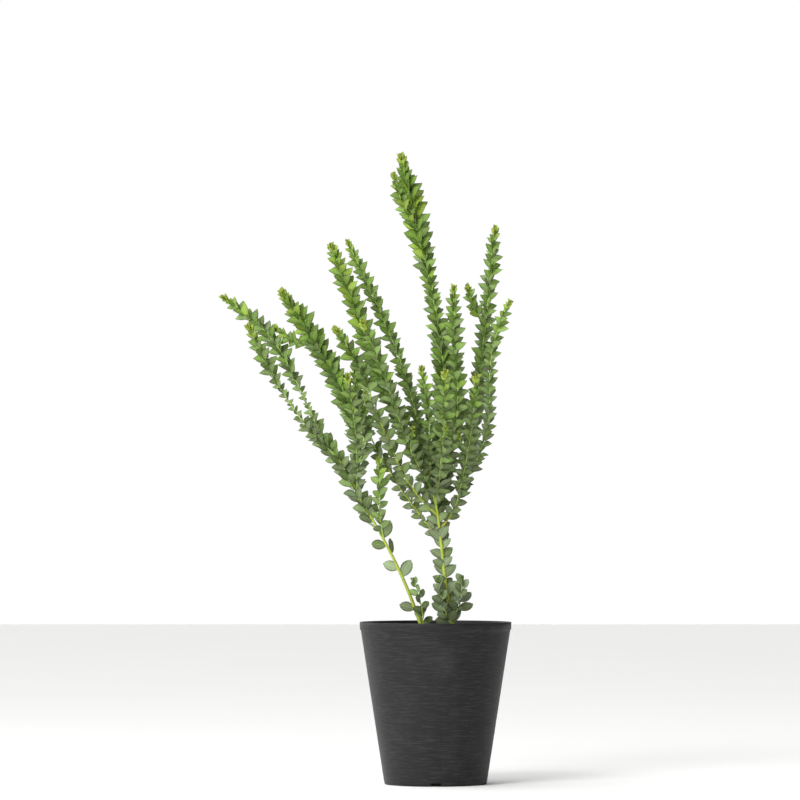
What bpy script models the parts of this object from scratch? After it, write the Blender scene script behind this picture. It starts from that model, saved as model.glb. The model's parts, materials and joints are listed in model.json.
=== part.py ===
# Potted knife-leaf wattle: a shrub of two lean stems whose leafy shoots fan out of a turned pot.
# Named sizes are in millimetres and the model is in metres. +Z is up, +X is to the viewer's
# right and +Y points away from the viewer. The origin is the centre of the pot's flat underside.

import math
import random
from typing import NamedTuple

import bmesh
import bpy
from mathutils import Matrix, Quaternion, Vector
from mathutils.bvhtree import BVHTree

MM = 0.001
CLEARANCE = 0.3
MERGE_DISTANCE = 0.00001

# Pot
POT_HEIGHT = 160.0
RIM_DIAMETER = 150.0
FOOT_DIAMETER = 101.0
RIM_BAND_HEIGHT = 7.5
RIM_BAND_STEP = 1.0
RIM_BAND_DRAFT = 0.2
RIM_ROUND = 0.8
WALL = 1.8
FLOOR = 2.5
FOOT_ROUND = 1.0
POT_SIDES = 40
SLOT_COUNT = 4
SLOT_WIDTH = 10.0
SLOT_HEIGHT = 3.4
SLOT_REACH = 9.0
DRAIN_COUNT = 4
DRAIN_DIAMETER = 9.0
DRAIN_CIRCLE = 52.0
DRAIN_SIDES = 14
DRAIN_CUT = 4 * FLOOR
SHARP_EDGE = math.radians(35.0)

# Potting mix
SOIL_TOP = 142.0
SOIL_EDGE_DROP = 3.0
SOIL_EDGE_WIDTH = 12.0

# Limbs
FOOT_RUN = 4.0
FLARE_HEIGHT = 14.0
FLARE_GROWTH = 0.55
STEM_SIDES = 8
BOUGH_SIDES = 6
TWIG_SIDES = 3
RING_SPACING = 22.0
FEWEST_RINGS = 4
TIP_DIAMETER = 0.8
BUD_ROOM = 4.0

# Side twigs: the first stands a third of the way up its shoot, the next higher.
TWIG_FIRST = 0.34
TWIG_STEP = 0.2
TWIG_SPREAD = 0.06
TWIG_ANGLE = math.radians(36.0)
TWIG_LENGTH = 34.0
TWIG_DIAMETER = 1.3
TWIG_LEAF = 0.75

# Leaves
LEAF_THICKNESS = 0.6
LEAF_CLEARANCE = 0.45
SPIRAL_TURN = math.radians(137.5)
BARE_FOOT = 9.0
OPEN_ANGLE = math.radians(52.0)
BUD_ANGLE = math.radians(28.0)
ANGLE_SPREAD = math.radians(9.0)
BLADE_TWIST = math.radians(38.0)
BUD_LENGTH = 0.5
BUD_SPACING = 0.82
BUD_REACH = 44.0
SIZE_SPREAD = 0.12
SEED = 1830


# The outline of a blade, as shares of its length. A knife-shaped blade has a nearly straight
# lower edge and a hump near its root; an old blade low on a stem is nearly oval.
class Blade(NamedTuple):
    hump_along: float
    hump_height: float
    belly_along: float
    belly_depth: float


KNIFE = Blade(0.38, 0.60, 0.55, 0.08)
BROAD = Blade(0.47, 0.56, 0.50, 0.17)
OVAL = Blade(0.52, 0.40, 0.50, 0.28)


# One stem or shoot. It leaves its parent at a height above the table and runs to its tip, given
# as right, away and up. Bow and sway bend it to the right and in an S, and dip bends it away.
# Shoots that name the same node are fused into one piece.
class Limb(NamedTuple):
    node: str
    parent: str
    height: float
    tip: tuple
    bow: float = 0.0
    sway: float = 0.0
    dip: float = 0.0
    thick: float = 2.0
    end: float = TIP_DIAMETER
    leaf: float = 15.0
    spacing: float = 9.4
    blade: Blade = KNIFE
    twigs: int = 0


STEM_FEET = {"stem_left": (-11.0, -5.0), "stem_right": (20.0, 3.0)}

STEMS = (
    Limb("stem_left", "ground", SOIL_TOP, (-57, -8, 252), 3, 0, 0, 4.2, 2.8, 15, 13, OVAL),
    Limb("stem_right", "ground", SOIL_TOP, (-10, -2, 320), 1, -2, 3, 4.8, 2.2, 15, 6.2, BROAD),
)

BOUGHS = (
    Limb("bough_left", "stem_left", 252, (-109, -4, 337), 2, -1, 0, 2.8, 2.0, 15, 7.8, BROAD),
    Limb("bough_left_inner", "bough_left", 297, (-71, 4, 342), 2, 0, 0, 2.2, 1.9, 14, 8.8, BROAD),
    Limb("bough_low_left", "stem_right", 240, (-60, 34, 334), -3, 0, 4, 2.4, 1.7, 13, 8.8, BROAD),
    Limb("bough_centre_left", "stem_right", 265, (-63, -34, 377), -8, -2, -4, 2.6, 1.8, 14, 8.2, BROAD),
    Limb("bough_right", "stem_right", 250, (32, 4, 311), 4, 0, 0, 2.6, 2.0, 14, 8.6, BROAD),
)

# The shoots that show from the front.
FRONT_VIEW = (
    Limb("foliage_tall", "stem_right", 279, (-33, 8, 620), 20, 3, 4, 2.8, leaf=19, spacing=6.4, blade=BROAD),
    Limb("foliage_tall", "foliage_tall", 540, (-42, -4, 604), -2, 1, 0, 1.4, leaf=14, spacing=7.4),
    Limb("foliage_centre_left", "stem_right", 309, (-103, -20, 531), -6, -2, 0, 2.2, leaf=16, spacing=7),
    Limb("foliage_centre_back", "stem_right", 320, (-87, 20, 538), 9, 1, 4, leaf=12.5, spacing=7.6),
    Limb("foliage_centre_sprig", "stem_right", 301, (-14, -34, 412), 3, 0, -4, 1.6, leaf=12, spacing=8),
    Limb("foliage_centre_right", "stem_right", 289, (18, -30, 490), 14, 4, -4, leaf=12.5, spacing=8, twigs=1),
    Limb("foliage_right", "bough_right", 311, (60, 16, 551), 1, 0, 2, leaf=15, spacing=7.2),
    Limb("foliage_right", "foliage_right", 455, (31, 8, 492), -2, 0, 0, 1.4, leaf=12, spacing=7),
    Limb("foliage_right_outer", "bough_right", 298, (73, -32, 477), 3, 7, -2, 1.8, leaf=13, spacing=8),
    Limb("foliage_left_outer", "bough_left", 337, (-210, 14, 483), 14, -3, 4, 1.9, leaf=14, spacing=8.6),
    Limb("foliage_left_lower", "bough_left", 324, (-185, -34, 452), -8, -1, -4, 1.8, leaf=13, spacing=8),
    Limb("foliage_left_upper", "bough_left_inner", 342, (-151, -10, 486), 5, 0, 0, 1.9, leaf=17, spacing=7.2),
    Limb("foliage_left_upper", "foliage_left_upper", 432, (-161, 12, 452), -4, 0, 0, 1.4, leaf=12, spacing=7),
    Limb("foliage_left_inner", "bough_left_inner", 330, (-69, 28, 388), 2, 0, 4, 1.8, leaf=14),
    Limb("foliage_left_front", "bough_centre_left", 377, (-98, -58, 448), 5, 1, -2, 1.8, leaf=16, spacing=7),
    Limb("foliage_left_sprig", "stem_left", 240, (-56, -26, 322), -2, -1, -6, 1.8, 0.8, 14, 9, BROAD),
)

# The shoots that fill the crown towards the back and the front.
AROUND = (
    Limb("foliage_left_back", "bough_low_left", 334, (-82, 76, 418), -4, 0, 6, 1.7),
    Limb("foliage_back_tall", "stem_right", 298, (-5, 60, 500), 15, 3, 10, twigs=1),
    Limb("foliage_back", "stem_right", 256, (8, 98, 430), 4, 0, 12, 2.2, leaf=16, blade=BROAD, twigs=2),
    Limb("foliage_back_right", "bough_right", 287, (48, 84, 438), 4, 0, 8, 1.8, twigs=1),
    Limb("foliage_back_left", "bough_left_inner", 318, (-106, 82, 426), 4, 0, 8, 1.7),
    Limb("foliage_front_tall", "stem_right", 286, (-72, -66, 455), -3, -2, -8, twigs=1),
    Limb("foliage_front", "stem_right", 275, (9, -94, 404), 2, 0, -12, 2.1, leaf=16, blade=BROAD, twigs=2),
    Limb("foliage_front_right", "bough_right", 277, (40, -78, 402), 3, 0, -8, 1.8, twigs=1),
    Limb("foliage_front_left", "bough_left", 288, (-86, -86, 402), 3, 0, -8, 1.8),
)

# The short sprigs at the foot of the stems.
SPRIGS = (
    Limb("sprig_left", "stem_left", 150, (-22, -16, 204), 3, 0, -2, 1.2, leaf=10, spacing=9, blade=OVAL),
    Limb("sprig_centre", "stem_right", 152, (2, -8, 204), -3, 0, -3, 1.3, leaf=13, spacing=7, blade=BROAD),
    Limb("sprig_right", "stem_right", 162, (26, -8, 205), 4, 0, -3, 1.3, leaf=14, spacing=7, blade=BROAD),
)

COLOURS = {
    "pot": (0.036, 0.036, 0.039),
    "soil": (0.075, 0.048, 0.030),
    "bark": (0.300, 0.380, 0.070),
    "leaf": (0.110, 0.250, 0.055),
}
ROUGHNESS = {"pot": 0.55, "soil": 0.95, "bark": 0.6, "leaf": 0.5}


def empty_scene():
    for item in list(bpy.data.objects):
        bpy.data.objects.remove(item)


def new_collection(name):
    collection = bpy.data.collections.new(name)
    bpy.context.scene.collection.children.link(collection)
    return collection


def add_object(name, mesh, collection):
    item = bpy.data.objects.new(name, mesh)
    collection.objects.link(item)
    return item


def make_cutter(item, cutters):
    for owner in list(item.users_collection):
        owner.objects.unlink(item)
    cutters.objects.link(item)
    item.hide_render = True
    item.display_type = "WIRE"


def dress(item, look):
    material = bpy.data.materials.new(item.name)
    material.use_nodes = True
    shader = material.node_tree.nodes["Principled BSDF"]
    shader.inputs["Base Color"].default_value = (*COLOURS[look], 1.0)
    shader.inputs["Roughness"].default_value = ROUGHNESS[look]
    shader.inputs["Metallic"].default_value = 0.0
    material.diffuse_color = (*COLOURS[look], 1.0)
    item.data.materials.clear()
    item.data.materials.append(material)


def evaluated_mesh(item):
    depsgraph = bpy.context.evaluated_depsgraph_get()
    return bpy.data.meshes.new_from_object(item.evaluated_get(depsgraph))


# Applies what shapes the object, and leaves it a plain mesh.
def settle(item):
    mesh = evaluated_mesh(item)
    item.modifiers.clear()
    item.data = mesh


def join_with(item, cutters, operation):
    boolean = item.modifiers.new(operation.lower(), "BOOLEAN")
    boolean.operation = operation
    boolean.operand_type = "COLLECTION"
    boolean.collection = cutters
    settle(item)
    for cutter in list(cutters.objects):
        bpy.data.objects.remove(cutter)


# A profile of (radius, height) in millimetres, turned once about the upright axis.
def turned(name, profile, parts):
    mesh = bpy.data.meshes.new(name)
    points = [(radius * MM, 0.0, height * MM) for radius, height in profile]
    mesh.from_pydata(points, [(index, index + 1) for index in range(len(points) - 1)], [])
    item = add_object(name, mesh, parts)
    screw = item.modifiers.new("turn", "SCREW")
    screw.steps = POT_SIDES
    screw.render_steps = POT_SIDES
    screw.use_merge_vertices = True
    screw.merge_threshold = MERGE_DISTANCE
    settle(item)
    item.data.shade_smooth()
    item.data.set_sharp_from_angle(angle=SHARP_EDGE)
    return item


# The wall is a straight cone from the foot up to the rim band, which stands out a little.
def outer_radius(height):
    foot = FOOT_DIAMETER / 2
    top = RIM_DIAMETER / 2 - RIM_BAND_STEP
    return foot + (top - foot) * height / (POT_HEIGHT - RIM_BAND_HEIGHT)


def inner_radius(height):
    return outer_radius(height) - WALL


def make_pot(parts, cutters):
    rim = RIM_DIAMETER / 2
    band_foot = POT_HEIGHT - RIM_BAND_HEIGHT
    profile = (
        (0.0, FLOOR),
        (inner_radius(FLOOR), FLOOR),
        (inner_radius(band_foot), band_foot),
        (rim - WALL - RIM_ROUND / 2, POT_HEIGHT),
        (rim - RIM_ROUND, POT_HEIGHT),
        (rim, POT_HEIGHT - RIM_ROUND),
        (rim - RIM_BAND_DRAFT, band_foot),
        (outer_radius(band_foot - RIM_BAND_STEP), band_foot - RIM_BAND_STEP),
        (outer_radius(FOOT_ROUND), FOOT_ROUND),
        (outer_radius(0.0) - FOOT_ROUND, 0.0),
        (0.0, 0.0),
    )
    pot = turned("pot", profile, parts)

    # Drain slots wrap round the foot's edge, one of them facing the viewer.
    for index in range(SLOT_COUNT):
        turn = math.tau * index / SLOT_COUNT - math.pi / 2
        bpy.ops.mesh.primitive_cube_add(size=1.0)
        slot = bpy.context.object
        size = (2 * SLOT_REACH * MM, SLOT_WIDTH * MM, 2 * SLOT_HEIGHT * MM, 1.0)
        place = Matrix.Rotation(turn, 4, "Z") @ Matrix.Translation((FOOT_DIAMETER / 2 * MM, 0.0, 0.0))
        slot.data.transform(place @ Matrix.Diagonal(size))
        make_cutter(slot, cutters)

    # Round drain holes stand between the slots and leave the middle of the floor whole.
    for index in range(DRAIN_COUNT):
        turn = math.tau * (index + 0.5) / DRAIN_COUNT
        radius = DRAIN_DIAMETER / 2 * MM
        bpy.ops.mesh.primitive_cylinder_add(vertices=DRAIN_SIDES, radius=radius, depth=DRAIN_CUT * MM)
        hole = bpy.context.object
        place = Matrix.Rotation(turn, 4, "Z") @ Matrix.Translation((DRAIN_CIRCLE / 2 * MM, 0.0, 0.0))
        hole.data.transform(place)
        make_cutter(hole, cutters)
    join_with(pot, cutters, "DIFFERENCE")
    dress(pot, "pot")
    return pot


# The potting mix fills the pot and sinks a little where it meets the wall.
def make_soil(parts):
    foot = FLOOR + CLEARANCE
    edge_top = SOIL_TOP - SOIL_EDGE_DROP
    edge = inner_radius(edge_top) - CLEARANCE
    profile = (
        (0.0, SOIL_TOP),
        (edge - SOIL_EDGE_WIDTH, SOIL_TOP),
        (edge, edge_top),
        (inner_radius(foot) - CLEARANCE, foot),
        (0.0, foot),
    )
    soil = turned("soil", profile, parts)
    dress(soil, "soil")
    return soil


# The line of a limb in metres. Across is the level direction to the right of its way up.
def limb_line(limb, base):
    chord = Vector(limb.tip) * MM - base
    if limb.end == TIP_DIAMETER:
        chord *= 1.0 - BUD_ROOM * MM / chord.length
    across = Vector((chord.z, 0.0, -chord.x)).normalized()
    count = max(FEWEST_RINGS, round(chord.length / (RING_SPACING * MM)))
    line = []
    for step in range(count + 1):
        share = step / count
        arch = math.sin(math.pi * share)
        side = limb.bow * arch + limb.sway * math.sin(math.tau * share)
        line.append(base + chord * share + across * side * MM + Vector((0.0, limb.dip * arch * MM, 0.0)))
    return line


# A stem starts upright out of a flat cut at ground level and then leans along its line.
def stem_line(limb):
    foot = Vector((*STEM_FEET[limb.node], SOIL_TOP + CLEARANCE)) * MM
    return [foot] + limb_line(limb, foot + Vector((0.0, 0.0, FOOT_RUN * MM)))


def run_lengths(line):
    lengths = [0.0]
    for near, far in zip(line, line[1:]):
        lengths.append(lengths[-1] + (far - near).length)
    return lengths


# The point and the direction of a line at a distance from its foot.
def point_along(line, distance):
    lengths = run_lengths(line)
    index = 0
    while index < len(line) - 2 and distance > lengths[index + 1]:
        index += 1
    step = line[index + 1] - line[index]
    return line[index] + step * (distance - lengths[index]) / step.length, step.normalized()


def point_at_height(line, height):
    for near, far in zip(line, line[1:]):
        if near.z <= height * MM <= far.z:
            return near.lerp(far, (height * MM - near.z) / (far.z - near.z))
    return line[-1].copy()


# Radius along a limb: a straight taper, with a root flare in the last stretch above the ground.
def limb_radius(limb, line, distance):
    radius = (limb.thick + (limb.end - limb.thick) * distance / run_lengths(line)[-1]) / 2
    if limb.parent == "ground":
        radius *= 1.0 + FLARE_GROWTH * max(0.0, 1.0 - distance / (FLARE_HEIGHT * MM)) ** 2
    return radius * MM


def limb_sides(limb):
    if limb.parent == "ground":
        return STEM_SIDES
    return BOUGH_SIDES if limb.node.startswith("bough") else TWIG_SIDES


def section_curve(sides, parts):
    section = bpy.data.curves.new("section", "CURVE")
    ring = section.splines.new("POLY")
    ring.points.add(sides - 1)
    ring.use_cyclic_u = True
    for index, point in enumerate(ring.points):
        turn = math.tau * index / sides
        point.co = (math.cos(turn), math.sin(turn), 0.0, 1.0)
    return add_object("section", section, parts)


# A limb is a curve with a flat-sided section and closed ends, made a mesh. Grow swells it and
# lengthens it at both ends, for the cutter that keeps its neighbour clear.
def limb_object(limb, line, parts, grow=0.0):
    sides = limb_sides(limb)
    swell = grow * MM / math.cos(math.pi / sides)
    ends = {0: (line[0] - line[1]).normalized(), len(line) - 1: (line[-1] - line[-2]).normalized()}
    section = section_curve(sides, parts)
    curve = bpy.data.curves.new(limb.node, "CURVE")
    curve.dimensions = "3D"
    curve.bevel_mode = "OBJECT"
    curve.bevel_object = section
    curve.use_fill_caps = True
    spline = curve.splines.new("POLY")
    spline.points.add(len(line) - 1)
    for index, (point, run) in enumerate(zip(line, run_lengths(line))):
        knot = spline.points[index]
        knot.co = (*(point + ends.get(index, Vector()) * grow * MM), 1.0)
        knot.radius = limb_radius(limb, line, run) + swell
    wire = add_object(limb.node, curve, parts)
    mesh = evaluated_mesh(wire)
    bpy.data.objects.remove(wire)
    bpy.data.objects.remove(section)

    bm = bmesh.new()
    bm.from_mesh(mesh)
    bmesh.ops.remove_doubles(bm, verts=bm.verts, dist=MERGE_DISTANCE)
    bmesh.ops.recalc_face_normals(bm, faces=bm.faces)
    bm.to_mesh(mesh)
    bm.free()
    return add_object(limb.node, mesh, parts)


def tree_of(item, grow=0.0):
    bm = bmesh.new()
    bm.from_mesh(item.data)
    bm.normal_update()
    for vertex in bm.verts:
        vertex.co += vertex.normal * grow * MM
    tree = BVHTree.FromBMesh(bm)
    bm.free()
    return tree


def is_clear(tree, obstacles):
    return not any(tree.overlap(obstacle) for obstacle in obstacles)


# A limb as it stands in the plant: its line, its mesh and the tree that tests it for contact.
class Shoot:
    def __init__(self, limb, line, item):
        self.limb = limb
        self.line = line
        self.item = item
        self.tree = tree_of(item)


# Every limb of the plant, each cut to a saddle that stands clear of the limb that carries it.
def draw_limbs(limbs, parts, cutters):
    shoots = []
    carriers = {}
    for limb in limbs:
        if limb.parent == "ground":
            line = stem_line(limb)
        else:
            carrier = carriers[limb.parent]
            line = limb_line(limb, point_at_height(carrier.line, limb.height))
        item = limb_object(limb, line, parts)
        if limb.parent not in ("ground", limb.node):
            make_cutter(limb_object(carrier.limb, carrier.line, parts, CLEARANCE), cutters)
            join_with(item, cutters, "DIFFERENCE")
        shoot = Shoot(limb, line, item)
        shoots.append(shoot)
        carriers.setdefault(limb.node, shoot)
    return shoots


# Side twigs branch from a shoot by a seeded rule. One that would touch another piece is skipped.
def draw_twigs(shoots, parts, rng):
    twigs = []
    for shoot in shoots:
        length = run_lengths(shoot.line)[-1]
        for index in range(shoot.limb.twigs):
            share = TWIG_FIRST + TWIG_STEP * index + rng.uniform(-TWIG_SPREAD, TWIG_SPREAD)
            point, ahead = point_along(shoot.line, share * length)
            outward = Quaternion(ahead, rng.uniform(0.0, math.tau)) @ ahead.orthogonal().normalized()
            reach = ahead * math.cos(TWIG_ANGLE) + outward * math.sin(TWIG_ANGLE)
            tip = point + reach * TWIG_LENGTH * MM
            limb = shoot.limb._replace(parent=shoot.limb.node, height=point.z / MM, tip=tuple(tip / MM),
                                       bow=0.0, sway=0.0, dip=0.0, thick=TWIG_DIAMETER,
                                       leaf=shoot.limb.leaf * TWIG_LEAF, twigs=0)
            line = limb_line(limb, point)
            item = limb_object(limb, line, parts)
            others = [other.tree for other in shoots if other.limb.node != limb.node]
            if is_clear(tree_of(item, LEAF_CLEARANCE), others):
                twigs.append(Shoot(limb, line, item))
            else:
                bpy.data.objects.remove(item)
    return twigs


# One blade: a flat eight-faced lens whose root lies on the limb's axis, so that it is sunk well in.
class Leaf(NamedTuple):
    root: Vector
    along: Vector
    rise: Vector
    length: float
    blade: Blade


def leaf_bmesh(leaf, grow=0.0):
    blade = leaf.blade
    length = leaf.length * MM
    hump = leaf.root + (leaf.along * blade.hump_along + leaf.rise * blade.hump_height) * length
    belly = leaf.root + (leaf.along * blade.belly_along - leaf.rise * blade.belly_depth) * length
    tip = leaf.root + leaf.along * length
    middle = (hump + belly) / 2
    half = (LEAF_THICKNESS / 2 + grow) * MM
    corners = {
        (-1, 0, 0): leaf.root,
        (1, 0, 0): tip + (tip - middle).normalized() * grow * MM,
        (0, 1, 0): hump + (hump - middle).normalized() * grow * MM,
        (0, -1, 0): belly + (belly - middle).normalized() * grow * MM,
        (0, 0, 1): middle + leaf.along.cross(leaf.rise) * half,
        (0, 0, -1): middle - leaf.along.cross(leaf.rise) * half,
    }
    bm = bmesh.new()
    bmesh.ops.create_uvsphere(bm, u_segments=4, v_segments=2, radius=1.0)
    for vertex in bm.verts:
        vertex.co = corners[tuple(round(value) for value in vertex.co)]
    return bm


# Leaves stand in a spiral up a limb, each in the plane of the limb's axis apart from a twist.
# They open wide low down, and towards a growing tip they shrink and close into a bud.
def leaf_spiral(limb, line, rng):
    length = run_lengths(line)[-1]
    leaves = []
    run = BARE_FOOT * MM
    turn = rng.uniform(0.0, math.tau)
    while run < length:
        opened = min(1.0, (length - run) / (BUD_REACH * MM)) if limb.end == TIP_DIAMETER else 1.0
        point, ahead = point_along(line, run)
        size = limb.leaf * (BUD_LENGTH + (1.0 - BUD_LENGTH) * opened)
        size *= 1.0 + rng.uniform(-SIZE_SPREAD, SIZE_SPREAD)
        angle = BUD_ANGLE + (OPEN_ANGLE - BUD_ANGLE) * opened + rng.uniform(-ANGLE_SPREAD, ANGLE_SPREAD)
        outward = Quaternion(ahead, turn) @ ahead.orthogonal().normalized()
        along = ahead * math.cos(angle) + outward * math.sin(angle)
        rise = ahead * math.sin(angle) - outward * math.cos(angle)
        rise = Quaternion(along, rng.uniform(-BLADE_TWIST, BLADE_TWIST)) @ rise
        leaves.append(Leaf(point, along, rise, size, limb.blade))
        turn += SPIRAL_TURN
        run += limb.spacing * MM * (BUD_SPACING + (1.0 - BUD_SPACING) * opened)
    return leaves


# Keeps the largest connected piece of a mesh. Sealed hollows and loose scraps go.
def keep_main_piece(item):
    bm = bmesh.new()
    bm.from_mesh(item.data)
    left = set(bm.faces)
    pieces = []
    while left:
        edge_of_piece = [left.pop()]
        piece = []
        while edge_of_piece:
            face = edge_of_piece.pop()
            piece.append(face)
            near = {other for edge in face.edges for other in edge.link_faces} & left
            left -= near
            edge_of_piece.extend(near)
        pieces.append(piece)
    pieces.sort(key=len)
    scraps = [face for piece in pieces[:-1] for face in piece]
    bmesh.ops.delete(bm, geom=scraps, context="FACES")
    bm.to_mesh(item.data)
    bm.free()


# The leaves of one node, fused to its shoots. A leaf that would touch another piece is skipped.
def clothe_node(own, obstacles, parts, cutters, rng):
    whole = own[0].item
    for shoot in own[1:]:
        make_cutter(shoot.item, cutters)
    for shoot in own:
        for leaf in leaf_spiral(shoot.limb, shoot.line, rng):
            around = leaf_bmesh(leaf, LEAF_CLEARANCE)
            if is_clear(BVHTree.FromBMesh(around), obstacles):
                blade = leaf_bmesh(leaf)
                mesh = bpy.data.meshes.new("leaf")
                blade.to_mesh(mesh)
                blade.free()
                make_cutter(add_object("leaf", mesh, parts), cutters)
            around.free()
    join_with(whole, cutters, "UNION")
    keep_main_piece(whole)
    return whole


def make_plant(parts, cutters, neighbours):
    shoots = draw_limbs(STEMS + BOUGHS + FRONT_VIEW + AROUND + SPRIGS, parts, cutters)
    shoots += draw_twigs(shoots, parts, random.Random(SEED))
    finished = {}
    fixed = [tree_of(item) for item in neighbours]
    for number, node in enumerate(dict.fromkeys(shoot.limb.node for shoot in shoots)):
        own = [shoot for shoot in shoots if shoot.limb.node == node]
        bare = [shoot.tree for shoot in shoots if shoot.limb.node != node]
        obstacles = fixed + bare + list(finished.values())
        item = clothe_node(own, obstacles, parts, cutters, random.Random(SEED + number))
        finished[node] = tree_of(item)
        dress(item, "leaf" if node.startswith(("foliage", "sprig")) else "bark")


def main():
    empty_scene()
    parts = new_collection("potted_wattle")
    cutters = new_collection("cutters")
    pot = make_pot(parts, cutters)
    soil = make_soil(parts)
    make_plant(parts, cutters, (pot, soil))


main()
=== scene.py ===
import json
import math
import random
from typing import NamedTuple

import bmesh
import bpy
from mathutils import Matrix, Quaternion, Vector, noise

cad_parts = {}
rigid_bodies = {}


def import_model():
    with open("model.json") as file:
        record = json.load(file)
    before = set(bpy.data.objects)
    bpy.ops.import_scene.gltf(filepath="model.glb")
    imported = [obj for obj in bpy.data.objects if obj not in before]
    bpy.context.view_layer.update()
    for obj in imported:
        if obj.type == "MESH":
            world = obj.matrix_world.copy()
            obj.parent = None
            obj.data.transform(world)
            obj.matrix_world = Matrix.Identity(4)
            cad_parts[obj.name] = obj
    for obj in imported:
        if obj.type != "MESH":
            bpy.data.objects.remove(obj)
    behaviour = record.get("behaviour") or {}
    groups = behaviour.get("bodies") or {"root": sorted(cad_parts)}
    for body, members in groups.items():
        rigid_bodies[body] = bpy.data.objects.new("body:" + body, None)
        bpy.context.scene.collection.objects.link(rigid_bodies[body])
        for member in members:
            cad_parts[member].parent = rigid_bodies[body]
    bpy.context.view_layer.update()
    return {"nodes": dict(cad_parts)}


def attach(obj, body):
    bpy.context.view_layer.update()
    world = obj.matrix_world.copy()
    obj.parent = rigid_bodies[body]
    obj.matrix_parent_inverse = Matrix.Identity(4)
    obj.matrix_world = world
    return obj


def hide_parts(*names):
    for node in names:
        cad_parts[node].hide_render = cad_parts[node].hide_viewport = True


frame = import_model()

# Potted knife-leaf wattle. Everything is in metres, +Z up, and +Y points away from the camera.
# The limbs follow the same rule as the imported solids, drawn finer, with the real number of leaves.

mm = 0.001
cadNodes = sorted(frame["nodes"])
bpy.context.scene.view_settings.view_transform = "Standard"


# Small helpers for objects and node trees

def newObject(name, mesh):
    item = bpy.data.objects.new(name, mesh)
    bpy.context.scene.collection.objects.link(item)
    return item


def toPlainMesh(item):
    depsgraph = bpy.context.evaluated_depsgraph_get()
    mesh = bpy.data.meshes.new_from_object(item.evaluated_get(depsgraph))
    item.modifiers.clear()
    item.data = mesh
    mesh.name = item.name
    return item


def makeShelf(name):  # a collection for shapes that are only needed on the way
    shelf = bpy.data.collections.new(name)
    bpy.context.scene.collection.children.link(shelf)
    return shelf


def clearShelf(shelf):
    for item in list(shelf.objects):
        bpy.data.objects.remove(item)
    bpy.data.collections.remove(shelf)


def between(low, high, share):
    return low + (high - low) * share


def addNode(tree, kind, **settings):
    node = tree.nodes.new(kind)
    for key, value in settings.items():
        setattr(node, key, value)
    return node


def addSocket(tree, direction, kind, name, value=None):
    socket = tree.interface.new_socket(name, in_out=direction, socket_type="NodeSocket" + kind)
    if value is not None:
        socket.default_value = value
    return socket


def feed(tree, node, values):  # each input takes a link from another node, or a plain value
    for key, value in values.items():
        if isinstance(value, bpy.types.NodeSocket):
            tree.links.new(value, node.inputs[key])
        else:
            node.inputs[key].default_value = value
    return node.outputs


def addMath(tree, operation, *values):
    return feed(tree, addNode(tree, "ShaderNodeMath", operation=operation), dict(enumerate(values)))[0]


def addRamp(tree, value, low, high):  # a smooth step from low to high, either way round
    node = addNode(tree, "ShaderNodeMapRange", interpolation_type="SMOOTHSTEP", clamp=True)
    start = 0.0 if low < high else 1.0
    return feed(tree, node, {"Value": value, "From Min": min(low, high), "From Max": max(low, high),
                             "To Min": start, "To Max": 1.0 - start})["Result"]


def addMask(tree, value, low, high, share):  # the same step, at a share of its strength
    return addMath(tree, "MULTIPLY", addRamp(tree, value, low, high), share)


def mixColour(tree, share, under, over):
    return feed(tree, addNode(tree, "ShaderNodeMix", data_type="RGBA"), {0: share, 6: under, 7: over})[2]


def addNoise(tree, place, scale, detail=2.0, stretch=None, roughness=0.5):
    if stretch:
        place = feed(tree, addNode(tree, "ShaderNodeMapping"), {"Scale": stretch, "Vector": place})["Vector"]
    return feed(tree, addNode(tree, "ShaderNodeTexNoise"), {
        "Scale": scale, "Detail": detail, "Roughness": roughness, "Vector": place})["Fac"]


def colour(*screen):  # from screen values out of 255
    return tuple(((v / 255 + 0.055) / 1.055) ** 2.4 if v > 10 else v / 255 / 12.92 for v in screen) + (1.0,)


def shaderGroup(name, inputs, outputs):
    tree = bpy.data.node_groups.new(name, "ShaderNodeTree")
    for kind, label, value in inputs:
        addSocket(tree, "INPUT", kind, label, value)
    for kind, label in outputs:
        addSocket(tree, "OUTPUT", kind, label)
    given = addNode(tree, "NodeGroupInput")
    result = addNode(tree, "NodeGroupOutput")
    return tree, given.outputs, result.inputs


# Shader groups that more than one material uses

bladeMarks = {
    "cloudScale": 70.0, "fineScale": 900.0, "cloudLow": 0.35, "cloudHigh": 0.72,
    "veinSlant": 0.28, "veinCount": 52.0, "veinStrength": 0.16,
    "ribWidth": 0.14, "ribStrength": 0.55,
    "rimStart": 0.64, "rimFull": 0.95, "pointStart": 0.90, "rimStrength": 0.92,
}


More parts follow.
